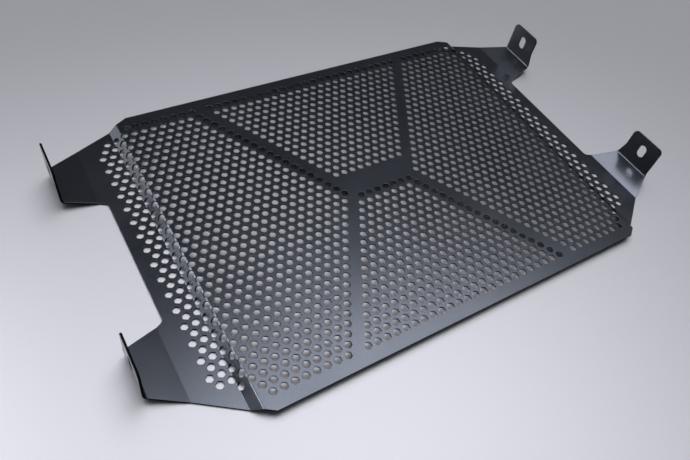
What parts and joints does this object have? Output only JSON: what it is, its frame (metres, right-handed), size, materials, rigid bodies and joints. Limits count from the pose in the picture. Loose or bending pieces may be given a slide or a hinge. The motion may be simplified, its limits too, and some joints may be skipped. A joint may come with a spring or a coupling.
{
  "type": "motorcycle radiator guard",
  "caption": "Folded sheet guard with a raised perforated panel, plain slanted braces, side flanges and slotted mounting ears, for the front of a motorcycle radiator.",
  "frame": {"origin": "middle of the box round the guard, at the underside of its side flanges", "axes": "+X across the guard, +Y up its face, +Z from the flanges towards the tops of the ears, which reach back to the radiator"},
  "size_m": [0.442, 0.2636, 0.0348],
  "materials": {
    "coated_sheet": "satin powder coat on aluminium sheet"
  },
  "bodies": {
    "root": {"guard_sheet": "coated_sheet"}
  },
  "joints": []
}
